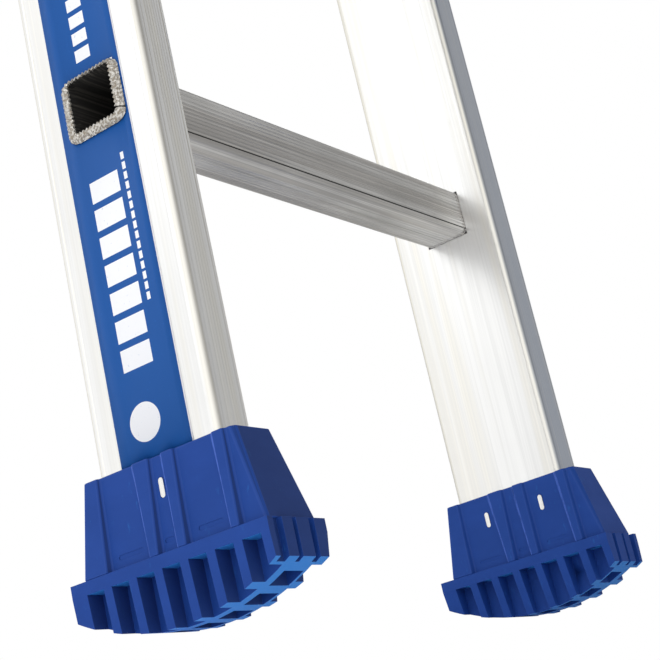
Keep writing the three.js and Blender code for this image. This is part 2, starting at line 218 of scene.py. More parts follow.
class Finish:
    """A material that is being made, with the ladder's upright coordinates at hand."""

    def __init__(self, name):
        self.material = bpy.data.materials.new(name)
        self.material.use_nodes = True
        self.tree = self.material.node_tree
        self.tree.nodes.clear()
        self.surface = self.node("ShaderNodeBsdfPrincipled")
        output = self.node("ShaderNodeOutputMaterial")
        self.tree.links.new(self.surface.outputs[0], output.inputs["Surface"])
        coordinates = self.node("ShaderNodeTexCoord")
        back = UPRIGHT.to_translation()
        mapping = self.node(
            "ShaderNodeMapping", None,
            {"Vector": coordinates.outputs["Object"], "Location": back, "Rotation": (LEAN, 0, 0)})
        self.upright = mapping.outputs["Vector"]

    def node(self, kind, settings=None, inputs=None):
        """Adds one node: its settings are set first, and then its sockets are given values or links."""
        made = self.tree.nodes.new(kind)
        for key, value in (settings or {}).items():
            setattr(made, key, value)
        for key, value in (inputs or {}).items():
            self.feed(made.inputs[key], value)
        return made

    def feed(self, socket, value):
        if isinstance(value, Value):
            value = value.socket
        if isinstance(value, bpy.types.NodeSocket):
            self.tree.links.new(value, socket)
        elif isinstance(socket.default_value, (float, int)):
            socket.default_value = value
        else:
            needed = len(socket.default_value)
            socket.default_value = (*value, 1)[:needed]

    def maths(self, operation, *operands):
        sockets = dict(enumerate(operands))
        node = self.node("ShaderNodeMath", {"operation": operation}, sockets)
        return Value(self, node.outputs[0])

    def place(self):
        """The upright x, y and z of the point, in metres."""
        split = self.node("ShaderNodeSeparateXYZ", None, {0: self.upright})
        return [Value(self, split.outputs[axis]) for axis in "XYZ"]

    def facing(self):
        """How far the surface faces along each upright axis."""
        geometry = self.node("ShaderNodeNewGeometry")
        turned = self.node(
            "ShaderNodeMapping", {"vector_type": "VECTOR"},
            {"Vector": geometry.outputs["Normal"], "Rotation": (LEAN, 0, 0)})
        split = self.node("ShaderNodeSeparateXYZ", None, {0: turned.outputs["Vector"]})
        return [Value(self, split.outputs[axis]) for axis in "XYZ"]

    def noise(self, stretch, detail=3.0, roughness=0.5):
        """Noise from zero to one, with so many grains to the metre along each upright axis."""
        scaled = self.node(
            "ShaderNodeVectorMath", {"operation": "MULTIPLY"}, {0: self.upright, 1: stretch})
        noise = self.node(
            "ShaderNodeTexNoise", None,
            {"Vector": scaled.outputs[0], "Scale": 1.0, "Detail": detail, "Roughness": roughness})
        return Value(self, noise.outputs["Fac"])

    def blend(self, factor, first, second):
        """A colour between two, by factor."""
        mix = self.node(
            "ShaderNodeMix", {"data_type": "RGBA"}, {0: factor, 6: first, 7: second})
        return mix.outputs[2]

    def bump(self, height, distance, strength=1.0):
        node = self.node(
            "ShaderNodeBump", None, {"Height": height, "Distance": distance, "Strength": strength})
        self.feed(self.surface.inputs["Normal"], node.outputs["Normal"])

    def set(self, **sockets):
        """Feeds the surface's sockets, which are named with underscores for spaces."""
        for key, value in sockets.items():
            self.feed(self.surface.inputs[key.replace("_", " ")], value)
        return self.material


def shade(colour, amount):
    """A colour made darker or lighter by a factor."""
    return tuple(min(1, part * amount) for part in colour)


# Painted reflection: the darker, cooler colour that front faces right of the middle take instead of the lit
# metal.
COOL_REFLECTION = (0.38, 0.43, 0.52)


def streaked_metal(name, colour, along, roughness, darker, grain, contrast, streak_and_sheen_tint, cool_reflection_amount=0):
    """Extruded aluminium: die lines along one axis, handling marks and patches of duller metal, with a
    painted cream sheen on the rounded corners and a painted cool reflection on front faces right of the
    middle.
    """
    finish = Finish(name)
    fine = [grain] * 3
    fine[along] = grain / 160
    broad = [grain / 9] * 3
    broad[along] = grain / 400
    lines = finish.noise(fine, detail=4)
    bands = finish.noise(broad, detail=2)
    patches = finish.noise((9, 9, 9), detail=4, roughness=0.6)
    scratches = finish.noise((220, 260, 240), detail=5, roughness=0.7).ramp(0.62, 0.75)
    tone = (lines * 0.55 + bands * 0.45).ramp(0.38, 0.62)
    worn = finish.blend(patches.ramp(0.4, 0.75) * 0.5, colour, shade(colour, darker))
    facing_x, facing_y = finish.facing()[:2]
    # Painted sheen: where a face turns between sideways and forwards the warm tint lies on the rounded
    # corner; elsewhere the tint follows random warm streaks.
    corners = (abs(facing_x) * abs(facing_y)).ramp(0.15, 0.4)
    streaked_and_sheened = finish.blend((bands.ramp(0.45, 0.7) + corners) * 0.5, worn, streak_and_sheen_tint)
    # Painted reflection: forward-facing faces right of the middle turn darker and cooler, as if they
    # reflected a duller part of the room.
    front_right_reflection = (0 - facing_y).ramp(0.5, 0.9) * finish.place()[0].ramp(0.05, 0.15)
    cool_reflected = finish.blend(front_right_reflection * cool_reflection_amount, streaked_and_sheened, COOL_REFLECTION)
    lined = finish.blend(tone * contrast, cool_reflected, shade(colour, darker * 0.92))
    finish.bump(lines + scratches * 0.3, 0.04 * MM, 0.5)
    return finish.set(
        Base_Color=lined, Metallic=1.0, Roughness=roughness + tone * 0.1 + scratches * 0.12)


def stile_aluminium():
    colours = bpy.context.scene.ladder_colours
    # The cream tint colours warm streaks and paints a sheen on the stile's rounded corners; the last number
    # sets the painted cool reflection on the right stile's front faces.
    return streaked_metal("stile_aluminium", colours.stile, 2, 0.3, 0.88, 900, 0.4, (0.86, 0.82, 0.7), 0.8)


def rung_aluminium():
    colours = bpy.context.scene.ladder_colours
    # The warm tint colours streaks along the rung, and paints a sheen wherever its faces turn between
    # sideways and forwards.
    return streaked_metal("rung_aluminium", colours.rung, 0, 0.34, 0.5, 1300, 0.75, (0.72, 0.66, 0.6))


def rim_aluminium():
    """The rung's flared ends: bright where the tool pressed them, with a little warm dirt in the notches."""
    finish = Finish("rim_aluminium")
    grime = finish.noise((1500, 800, 800), detail=4, roughness=0.65).ramp(0.44, 0.6)
    colour = finish.blend(grime, (0.6, 0.58, 0.54), (0.3, 0.26, 0.21))
    finish.bump(grime, 0.2 * MM, 0.8)
    return finish.set(Base_Color=colour, Metallic=1.0, Roughness=0.28 + grime * 0.2)


def shaded_hollow():
    """The inside of a rung, near-black as painted shade, with faint lines along it; the faces along the
    rung's front ridge take it too, as a painted shade line.
    """
    finish = Finish("shaded_hollow")
    lines = finish.noise((4, 900, 900), detail=3)
    colour = finish.blend(lines.ramp(0.45, 0.75), (0.012, 0.011, 0.01), (0.07, 0.065, 0.055))
    finish.bump(lines, 0.1 * MM, 0.5)
    return finish.set(Base_Color=colour, Roughness=0.75 + lines * 0.1, Metallic=0.2)


def cast_aluminium():
    finish = Finish("cast_aluminium")
    skin = finish.noise((700, 700, 700), detail=4, roughness=0.6)
    patches = finish.noise((60, 60, 60), detail=3)
    colour = finish.blend(patches.ramp(0.3, 0.7), (0.6, 0.61, 0.62), (0.45, 0.46, 0.47))
    finish.bump(skin, 0.12 * MM, 0.6)
    return finish.set(Base_Color=colour, Metallic=1.0, Roughness=0.42 + skin * 0.2)


def zinc_steel():
    finish = Finish("zinc_steel")
    spangle = finish.node(
        "ShaderNodeTexVoronoi", None, {"Vector": finish.upright, "Scale": 420.0})
    grains = Value(finish, spangle.outputs["Distance"])
    patches = finish.noise((80, 80, 80), detail=3)
    colour = finish.blend(patches.ramp(0.3, 0.7), (0.55, 0.57, 0.58), (0.66, 0.63, 0.5))
    finish.bump(grains, 0.05 * MM, 0.4)
    return finish.set(Base_Color=colour, Metallic=1.0, Roughness=0.3 + grains * 0.25)


def moulded_plastic(name, colour, worn_and_lit_colour):
    """Blue plastic with a fine moulded grain, faint flow marks and scuffs, downward faces near the ground
    made paler as painted light from the floor below, and painted shade on the front faces of the left shoe.
    """
    finish = Finish(name)
    grain = finish.noise((1500, 1500, 1500), detail=2)
    flow = finish.noise((28, 28, 60), detail=4, roughness=0.6)
    scuffs = finish.noise((260, 260, 90), detail=5, roughness=0.7).ramp(0.6, 0.8)
    height = finish.place()[2]
    downwards = (0 - finish.facing()[2]).ramp(0.6, 0.9)
    # Painted light: faces that look down near the ground turn paler, as if lit from the floor below; scuffs
    # break it up.
    lit_from_below = downwards * (height < SOLE_PLATE_FOOT + 1 * MM)
    body = finish.blend(flow.ramp(0.3, 0.7) * 0.45, colour, shade(colour, 0.78))
    rubbed = finish.blend(scuffs * 0.35, body, worn_and_lit_colour)
    base = finish.blend(lit_from_below * (0.75 + scuffs * 0.25), rubbed, worn_and_lit_colour)
    # Painted shade: the front faces of the left shoe turn a dark greyed navy, varied by the scuffs.
    left_front_shade = (0 - finish.facing()[1]).ramp(0.5, 0.9) * (finish.place()[0] < 0)
    front_shaded = finish.blend(left_front_shade * (0.4 + scuffs * 0.2), base, (0.02, 0.028, 0.06))
    finish.bump(grain + flow * 0.6, 0.05 * MM, 0.45)
    return finish.set(Base_Color=front_shaded, Roughness=0.5 + flow * 0.14, Specular_IOR_Level=0.14)


def printed_band():
    """The blue band on the stile's outer face, with white edge lines and plain generic bars."""
    colours = bpy.context.scene.ladder_colours
    finish = Finish("printed_band")
    across, height = finish.place()[1:]
    section_y = (across + 0.0385) % 0.077 - 0.0385
    bay = (height - FIRST_RUNG_HEIGHT) % 0.56
    large_row = section_y.between(-8 * MM, 10 * MM) * height.between(118 * MM, 216 * MM)
    large = large_row * (((height - 118 * MM) % (14 * MM)) < 10.6 * MM)
    dashes_row = section_y.between(-13.4 * MM, -11.4 * MM) * height.between(146 * MM, 220 * MM)
    dashes = dashes_row * (((height - 146 * MM) % (5 * MM)) < 3.6 * MM)
    spot_y, spot_z = section_y - 3 * MM, height - 93 * MM
    spot = (spot_y * spot_y + spot_z * spot_z) < (9 * MM) ** 2
    small_row = section_y.between(-5 * MM, 4.4 * MM) * bay.between(22 * MM, 104 * MM)
    small = small_row * (((bay - 22 * MM) % (9.2 * MM)) < 6.4 * MM)
    edge_lines = abs(section_y) > 21.3 * MM
    low = height < FIRST_RUNG_HEIGHT
    white = finish.maths("MINIMUM", (large + dashes + spot) * low + small * (1 - low) + edge_lines, 1)
    fading = finish.noise((14, 14, 14), detail=4, roughness=0.6)
    specks = finish.noise((700, 700, 700), detail=3).ramp(0.66, 0.72)
    blue = finish.blend(fading.ramp(0.3, 0.75) * 0.4, colours.band, shade(colours.band, 0.82))
    inked = finish.blend(white, blue, colours.print_white)
    colour = finish.blend(specks * 0.25, inked, shade(colours.band, 1.6))
    finish.bump(fading + specks, 0.02 * MM, 0.3)
    return finish.set(Base_Color=colour, Roughness=0.4 + fading * 0.12, Specular_IOR_Level=0.18)


def edge_highlight():
    """A painted highlight along the rounded edges that face backwards, broken up by patches of wear."""
    colours = bpy.context.scene.ladder_colours
    finish = Finish("edge_highlight")
    wear = finish.noise((160, 160, 160), detail=4, roughness=0.7)
    highlight_colour = tuple(part * 1.7 + 0.035 for part in colours.shoe)
    # Painted highlight: only the edges that face backwards, towards the brighter side, take the paler blue.
    highlight_side = finish.facing()[1].ramp(0.05, 0.4)
    colour = finish.blend(wear.ramp(0.3, 0.6) * highlight_side, colours.shoe, highlight_colour)
    return finish.set(Base_Color=colour, Roughness=0.45 + wear * 0.15, Specular_IOR_Level=0.2)


def shoe_plastic():
    colours = bpy.context.scene.ladder_colours
    return moulded_plastic("shoe_plastic", colours.shoe, colours.tread)


def cap_plastic():
    colours = bpy.context.scene.ladder_colours
    return moulded_plastic("cap_plastic", shade(colours.shoe, 0.9), colours.shoe)


MATERIAL_MAKERS = {
    "shoe_plastic": shoe_plastic,
    "cap_plastic": cap_plastic,
    "edge_highlight": edge_highlight,
    "stile_aluminium": stile_aluminium,
    "rung_aluminium": rung_aluminium,
    "rim_aluminium": rim_aluminium,
    "shaded_hollow": shaded_hollow,
    "cast_aluminium": cast_aluminium,
    "zinc_steel": zinc_steel,
    "printed_band": printed_band,
}


finishes = {}


def finish_named(name):
    """The material of that name, made the first time it is asked for."""
    if name not in finishes:
        finishes[name] = MATERIAL_MAKERS[name]()
    return finishes[name]


# ---- places and shaping ----
def upright_box(node):
    """Lowest and highest corner of a node, with the ladder's lean taken out."""
    corners = [UPRIGHT @ vertex.co for vertex in frame["nodes"][node].data.vertices]
    low = Vector(min(corner[axis] for corner in corners) for axis in range(3))
    high = Vector(max(corner[axis] for corner in corners) for axis in range(3))
    return low, high


def rung_heights(section):
    """Heights of a section's rungs along its stiles."""
    heights = []
    for node in frame["nodes"]:
        if node.startswith(f"{section}_rung_"):
            low, high = upright_box(node)
            heights.append((low.z + high.z) / 2)
    return sorted(heights)


def ring(bm, points):
    """A closed loop of edges through a few points."""
    verts = [bm.verts.new(point) for point in points]
    return [bm.edges.new((verts[i - 1], verts[i])) for i in range(len(verts))]


def extrude_edges(bm, edges, shift):
    """Draws a loop of edges out into a wall, and returns the far loop's edges."""
    grown = bmesh.ops.extrude_edge_only(bm, edges=edges)["geom"]
    verts = [part for part in grown if isinstance(part, bmesh.types.BMVert)]
    bmesh.ops.translate(bm, verts=verts, vec=shift)
    return [part for part in grown if isinstance(part, bmesh.types.BMEdge)
            and all(vert in verts for vert in part.verts)]


def extrude_faces(bm, faces, shift, keep=False):
    """Draws a patch of faces out, and returns the moved faces."""
    grown = bmesh.ops.extrude_face_region(bm, geom=faces, use_keep_orig=keep)["geom"]
    verts = [part for part in grown if isinstance(part, bmesh.types.BMVert)]
    bmesh.ops.translate(bm, verts=verts, vec=shift)
    return [part for part in grown if isinstance(part, bmesh.types.BMFace)]


def mend(bm, merge=1e-6):
    """Merges doubles and turns every face outwards."""
    bmesh.ops.remove_doubles(bm, verts=bm.verts, dist=merge)
    bmesh.ops.recalc_face_normals(bm, faces=bm.faces)


def add_piece(bm, name, body, materials, replaces=(), sharp=35):
    """Leans a shape over with the ladder, and makes it a piece that moves with a body."""
    bm.transform(LEANT)
    mesh = bpy.data.meshes.new(name)
    bm.to_mesh(mesh)
    bm.free()
    for material in materials:
        mesh.materials.append(finish_named(material))
    mesh.shade_smooth()
    mesh.set_sharp_from_angle(angle=math.radians(sharp))
    piece = bpy.data.objects.new(name, mesh)
    bpy.context.scene.collection.objects.link(piece)
    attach(piece, body)
    if replaces:
        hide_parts(*replaces)
    return piece


def round_edges(piece, width, segments=2, angle=32, edge_slot=-1):
    """Rounds a piece's edges, and can give them the material in another of its slots."""
    bevel = piece.modifiers.new("rounding", "BEVEL")
    bevel.material = edge_slot
    bevel.width = width
    bevel.segments = segments
    bevel.limit_method = "ANGLE"
    bevel.angle_limit = math.radians(angle)
    bevel.harden_normals = True


def give_wall(piece, thickness):
    """Gives a sheet its wall, inwards from its outer skin."""
    wall = piece.modifiers.new("wall", "SOLIDIFY")
    wall.thickness = thickness
    wall.offset = -1
    wall.use_even_offset = True


def even_out_shading(piece):
    """Keeps flat faces flat up to their rounded edges."""
    evened = piece.modifiers.new("shading", "WEIGHTED_NORMAL")
    evened.keep_sharp = True
    evened.weight = 80


def softened_copy(node, name, body, material, width):
    """A fitting with its node's shape and rounded edges."""
    bm = bmesh.new()
    bm.from_mesh(frame["nodes"][node].data)
    bm.transform(UPRIGHT)
    bmesh.ops.remove_doubles(bm, verts=bm.verts, dist=1e-5)
    bmesh.ops.dissolve_limit(bm, angle_limit=math.radians(1), verts=bm.verts, edges=bm.edges)
    piece = add_piece(bm, name, body, [material], [node])
    round_edges(piece, width, segments=3)
    return piece


# ---- stiles ----
def reeded_face(half, depth):
    """Points across a narrow face with fine lines, and a deeper line where the flat starts."""
    points = [(-half, 0)]
    middles = [-0.93, -0.68, -0.44, -0.2, 0.05, 0.3, 0.55, 0.93]
    line = 0.4 * MM
    for middle in middles:
        deep = depth * (1.5 if abs(middle) > 0.9 else 1)
        centre = middle * half
        points += [(centre - line, 0), (centre, deep), (centre + line, 0)]
    points.append((half, 0))
    return points


def wide_face(half, cuts, lines):
    """Points along a wide face: cuts where the rung holes start and end, and shallow lines."""
    points = [(-half, 0), (half, 0)] + [(cut, 0) for cut in cuts]
    for middle, deep in lines:
        points += [(middle - 0.6 * MM, 0), (middle, deep), (middle + 0.6 * MM, 0)]
    return sorted(points)


def arc(centre, radius, start, segments):
    """Inner points of a quarter turn about a centre."""
    steps = [start + math.pi / 2 * step / segments for step in range(1, segments)]
    return [(centre[0] + radius * math.cos(a), centre[1] + radius * math.sin(a)) for a in steps]


def stile_outline(side, low, high, hole):
    sizes = bpy.context.scene.ladder_metal
    radius = sizes.stile_corner
    middle = (low + high) / 2
    half_x, half_y = (high.x - low.x) / 2, (high.y - low.y) / 2
    flat_x, flat_y = half_x - radius, half_y - radius
    cuts = [RUNG_Y - hole, RUNG_Y + hole]
    outer_lines = [(-31 * MM, 0.15 * MM), (31.5 * MM, 0.3 * MM)]
    points = [(x, -half_y + deep) for x, deep in reeded_face(flat_x, sizes.reed_depth)]
    points += arc((flat_x, -flat_y), radius, -math.pi / 2, 6)
    points += [(half_x - deep, y) for y, deep in wide_face(flat_y, cuts, outer_lines)]
    points += arc((flat_x, flat_y), radius, 0, 6)
    points += [(-x, half_y - deep) for x, deep in reeded_face(flat_x, sizes.reed_depth)]
    points += arc((-flat_x, flat_y), radius, math.pi / 2, 6)
    points += [(-half_x, -y) for y, deep in wide_face(flat_y, [-cut for cut in cuts], [])]
    points += arc((-flat_x, -flat_y), radius, math.pi, 6)
    return [(middle.x + side * x, middle.y + y, low.z) for x, y in points]


def raise_sheet(bm, edges, bottom, top, heights, hole):
    """Draws an outline upwards, with a level at each edge of each rung hole."""
    levels = sorted([top] + [height + way * hole for height in heights for way in (-1, 1)])
    now = bottom
    for level in levels:
        edges = extrude_edges(bm, edges, (0, 0, level - now))
        now = level


def open_holes(bm, heights, hole, middle_y):
    """Takes out the faces where the rungs pass."""
    inside = []
    for face in bm.faces:
        centre = face.calc_center_median()
        across = abs(centre.y - middle_y) < hole
        if across and any(abs(centre.z - height) < hole for height in heights):
            inside.append(face)
    bmesh.ops.delete(bm, geom=inside, context="FACES")


def build_stile(section, word, side):
    sizes = bpy.context.scene.ladder_metal
    node = f"{section}_stile_{word}"
    low, high = upright_box(node)
    heights = rung_heights(section)
    hole = rung_half(section) + 0.3 * MM
    bm = bmesh.new()
    edges = ring(bm, stile_outline(side, low, high, hole))
    raise_sheet(bm, edges, low.z, high.z, heights, hole)
    open_holes(bm, heights, hole, (low.y + high.y) / 2 + RUNG_Y)
    mend(bm)
    piece = add_piece(bm, f"stile_{section}_{word}", section, ["stile_aluminium"], [node])
    give_wall(piece, sizes.stile_wall)
    even_out_shading(piece)


def rung_half(section):
    """Half the width of a rung between its flared rims."""
    rung = frame["nodes"][f"{section}_rung_1"]
    points = [UPRIGHT @ vertex.co for vertex in rung.data.vertices]
    low, high = upright_box(f"{section}_rung_1")
    middle = (low.z + high.z) / 2
    limit = 160 * MM
    return max((point.z - middle for point in points if abs(point.x) < limit), default=14.25 * MM)


# ---- rungs ----
# For each part that the flared rim grows: how far it hangs lower, and how much flatter it is.
RIM_DROP = 0.35
RIM_SQUASH = 0.47
# The crimp inside a stile stands out less than the play between a rung and the hook that hangs on it.
CRIMP = 0.15 * MM


class RungPoint:
    """A point on a rung's outline: its outward direction, grip line and rim notch, and if it's the ridge."""

    def __init__(self, y, z, out, flute, notch, ridge=False):
        self.y = y
        self.z = z
        self.out = out
        self.flute = flute
        self.notch = notch
        self.ridge = ridge


def rung_outline(half, radius):
    """Points round a rung: four sides with grip lines, and four rounded corners."""
    lines = 10
    steps = 2 * lines
    corner_steps = 6
    flat = half - radius
    points = []
    for quarter in range(4):
        angle = -math.pi / 2 + quarter * math.pi / 2
        out = Vector((math.cos(angle), math.sin(angle)))
        along = Vector((-out.y, out.x))
        for step in range(steps + 1):
            reach = -flat + 2 * flat * step / steps
            place = out * half + along * reach
            underside = quarter == 0
            plain = underside and reach < -0.35 * flat
            flute = 0 if plain else step % 2
            ridge = quarter == 3 and step >= steps - 1
            points.append(RungPoint(place.x, place.y, out, flute, step % 2, ridge))
        corner = (out + along) * flat
        for step in range(1, corner_steps):
            turn = angle + math.pi / 2 * step / corner_steps
            round_out = Vector((math.cos(turn), math.sin(turn)))
            place = corner + round_out * radius
            points.append(RungPoint(place.x, place.y, round_out, 0, step % 2))
    return points


def rung_stations(inner_face, outer_face, rim_end, rim_grow, wall):
    """Along half a rung: distance from its middle, growth outwards, grip lines, and rim notches."""
    rim = rim_end - outer_face
    return [
        (0, 0, 1, 0),
        (inner_face - 3.2 * MM, 0, 1, 0),
        (inner_face - 2.4 * MM, 0, 0.3, 0.2),
        (inner_face - 1.6 * MM, CRIMP, 0, 0.8),
        (inner_face - 0.5 * MM, CRIMP, 0, 0.8),
        (inner_face - 0.1 * MM, CRIMP, 0, 0.2),
        (inner_face, 0, 0, 0),
        (outer_face + 0.05 * MM, 0, 0, 0),
        (outer_face + 0.12 * rim, rim_grow * 0.85, 0, 0),
        (outer_face + 0.35 * rim, rim_grow, 0, 0.2),
        (outer_face + 0.68 * rim, rim_grow * 0.88, 0, 0.8),
        (outer_face + 0.94 * rim, rim_grow * 0.6, 0, 1),
        (outer_face + rim, rim_grow * 0.25, 0, 1),
        (outer_face + 0.9 * rim, -wall * 0.1, 0, 1),
        (outer_face + 0.55 * rim, -wall * 0.45, 0, 0.5),
        (outer_face - 3 * MM, -wall, 0, 0),
        (0, -wall, 0, 0),
    ]


def build_rung(section, number):
    sizes = bpy.context.scene.ladder_metal
    node = f"{section}_rung_{number}"
    low, high = upright_box(node)
    stile_low, stile_high = upright_box(f"{section}_stile_right")
    middle = (low + high) / 2
    half = rung_half(section)
    outline = rung_outline(half, sizes.rung_corner)
    stations = rung_stations(stile_low.x, stile_high.x, high.x, sizes.rim_reach, sizes.rung_wall)
    bm = bmesh.new()
    mark = bm.verts.layers.int.new("outline_point")
    edges = ring(bm, [(0, point.y, point.z) for point in outline])
    for vert, number_of_point in zip(bm.verts, range(len(outline))):
        vert[mark] = number_of_point
    shape_station(bm.verts, mark, outline, stations[0], sizes)
    rim_starts = len(stations) - 9
    for index, station in enumerate(stations[1:], 1):
        faces_before = set(bm.faces)
        grown = bmesh.ops.extrude_edge_only(bm, edges=edges)["geom"]
        verts = [part for part in grown if isinstance(part, bmesh.types.BMVert)]
        edges = [part for part in grown if isinstance(part, bmesh.types.BMEdge)
                 and all(vert in verts for vert in part.verts)]
        shape_station(verts, mark, outline, station, sizes)
        # Slot 2, the near-black hollow finish, is painted shade: it goes inside the rung, and on the ridge
        # faces as a painted shade line.
        surface = 0 if index < rim_starts else 1 if index < len(stations) - 2 else 2
        for face in set(bm.faces) - faces_before:
            on_ridge = all(outline[vert[mark]].ridge for vert in face.verts)
            face.material_index = 2 if on_ridge else surface
    bmesh.ops.mirror(bm, geom=bm.verts[:] + bm.edges[:] + bm.faces[:], axis="X", merge_dist=1e-6)
    mend(bm)
    bmesh.ops.translate(bm, verts=bm.verts, vec=(0, middle.y, middle.z))
    piece = add_piece(bm, f"rung_{section}_{number}", section,
                      ["rung_aluminium", "rim_aluminium", "shaded_hollow"], [node], sharp=24)
    even_out_shading(piece)


def shape_station(verts, mark, outline, station, sizes):
    """Puts one loop of a rung's points at their station."""
    x, grow, flute, notch = station
    for vert in verts:
        point = outline[vert[mark]]
        sink = flute * point.flute * sizes.flute_depth + notch * point.notch * sizes.rim_notch
        reach = grow - sink
        rim = max(grow, 0)
        up = point.out.y * (reach - rim * RIM_SQUASH) - rim * RIM_DROP
        vert.co = (x, point.y + point.out.x * reach, point.z + up)


# ---- printed bands ----
def build_label(section, word, side):
    sizes = bpy.context.scene.ladder_metal
    node = f"{section}_label_{word}"
    low, high = upright_box(node)
    stile_low, stile_high = upright_box(f"{section}_stile_{word}")
    stile_y = (stile_low.y + stile_high.y) / 2
    face = max(abs(stile_low.x), abs(stile_high.x)) + 0.02 * MM + sizes.label_thickness
    heights = [height for height in rung_heights(section) if low.z < height < high.z]
    hole = rung_half(section) + 1.2 * MM
    if section == "base":
        low.z = upright_box(f"shoe_sleeve_{word}")[1].z - 8 * MM
    columns = [low.y, stile_y + RUNG_Y - hole, stile_y + RUNG_Y + hole, high.y]
    bm = bmesh.new()
    verts = [bm.verts.new((side * face, y, low.z)) for y in columns]
    edges = [bm.edges.new(pair) for pair in zip(verts, verts[1:])]
    raise_sheet(bm, edges, low.z, high.z, heights, hole)
    open_holes(bm, heights, hole, stile_y + RUNG_Y)
    mend(bm)
    outwards = Vector((side, 0, 0))
    turned = [part for part in bm.faces if part.normal.dot(outwards) < 0]
    bmesh.ops.reverse_faces(bm, faces=turned)
    piece = add_piece(bm, f"band_{section}_{word}", section, ["printed_band"], [node])
    give_wall(piece, sizes.label_thickness)


# ---- shoe sleeves ----
# Each rib of the sleeve: its back and front edge at the top, and at the foot.
SLEEVE_RIBS = (
    ((42.5, 35), (47.2, 33.5)),
    ((13, 3.8), (7.7, 3.1)),
    ((-4.3, -11), (-8.4, -13.2)),
    ((-33.9, -39.8), (-38.4, -42.8)),
)
RIB_SLOPE = 1.1  # how far each side of a rib spreads, in millimetres
PANEL_SINK = 1.6 * MM  # depth of the panels between the ribs, at the top


def sleeve_side(shoe, top_face):
    """Pairs of points down one side of the sleeve, as (x, y) at the top and at the foot."""
    panel = top_face - PANEL_SINK
    pairs = []
    for (top_back, top_front), (foot_back, foot_front) in SLEEVE_RIBS:
        foot = shoe.rib_reach
        sunk = shoe.panel_foot
        first = top_back == SLEEVE_RIBS[0][0][0]
        if not first:
            pairs.append(((panel, top_back + RIB_SLOPE), (sunk, foot_back + RIB_SLOPE)))
        pairs.append(((top_face, top_back), (foot, foot_back)))
        pairs.append(((top_face, top_front), (foot, foot_front)))
        pairs.append(((panel, top_front - RIB_SLOPE), (sunk, foot_front - RIB_SLOPE)))
    return [((top[0], top[1] * MM), (foot[0], foot[1] * MM)) for top, foot in pairs]


def sleeve_loops(node, shoe):
    """The sleeve's outline at its top and at its foot."""
    low, high = upright_box(node)
    socket_half = 12.3 * MM
    top_face = socket_half + 2.9 * MM
    front_top, front_foot = -45.3 * MM, low.y
    chamfer = 2.2 * MM
    pairs = sleeve_side(shoe, top_face)
    panel = top_face - PANEL_SINK
    pairs.append(((panel, front_top + chamfer), (shoe.panel_foot, front_foot + 1 * MM)))
    pairs.append(((panel - chamfer, front_top), (shoe.panel_foot - 1 * MM, front_foot)))
    mirrored = [((-top[0], top[1]), (-foot[0], foot[1])) for top, foot in reversed(pairs)]
    both = pairs + mirrored
    top_loop = [(x, y, high.z) for (x, y), foot in both]
    foot_loop = [(x, y, low.z) for top, (x, y) in both]
    return top_loop, foot_loop


def obround(length, height, segments=8):
    """Points round a slot with round ends, along y or z."""
    radius = min(length, height) / 2
    tall = height > length
    reach = abs(height - length) / 2
    points = []
    for end in (1, -1):
        for step in range(segments + 1):
            turn = math.pi * step / segments - math.pi / 2
            a = end * (reach + radius * math.cos(turn))
            b = end * radius * math.sin(turn)
            points.append((-b, a) if tall else (a, b))
    return points


def slot_block(bm, x_low, x_high, y, z, length, height):
    """A block with round ends, lying across the sleeve's side."""
    points = [(x_low, y + a, z + b) for a, b in obround(length, height)]
    edges = ring(bm, points)
    first = bmesh.ops.contextual_create(bm, geom=edges)["faces"]
    extrude_faces(bm, first, (x_high - x_low, 0, 0), keep=True)


# Windows in a sleeve, where the stile shows: face (1 outer, -1 inner) and place along y.
WINDOWS = ((1, -1.8), (-1, 17), (-1, -20.5))
WINDOW_HEIGHT = 61 * MM
WINDOW_SIZE = (3 * MM, 9.4 * MM)
# Shallow moulded marks near the foot of the panels: place along y, and length.
MOULD_MARKS = ((20.5, 15), (-2.4, 5.5), (-26, 14))


def cut_away(piece, cutter_bm):
    """Cuts a shape out of a piece, and keeps the result as its mesh."""
    mend(cutter_bm)
    cutter_bm.transform(LEANT)
    mesh = bpy.data.meshes.new("cutter")
    cutter_bm.to_mesh(mesh)
    cutter_bm.free()
    cutter = bpy.data.objects.new("cutter", mesh)
    bpy.context.scene.collection.objects.link(cutter)
    cut = piece.modifiers.new("cut", "BOOLEAN")
    cut.operation = "DIFFERENCE"
    cut.solver = "EXACT"
    cut.object = cutter
    graph = bpy.context.evaluated_depsgraph_get()
    whole = piece.data
    piece.data = bpy.data.meshes.new_from_object(piece.evaluated_get(graph))
    piece.data.name = whole.name
    piece.modifiers.clear()
    bpy.data.objects.remove(cutter)
    bpy.data.meshes.remove(mesh)
    bpy.data.meshes.remove(whole)


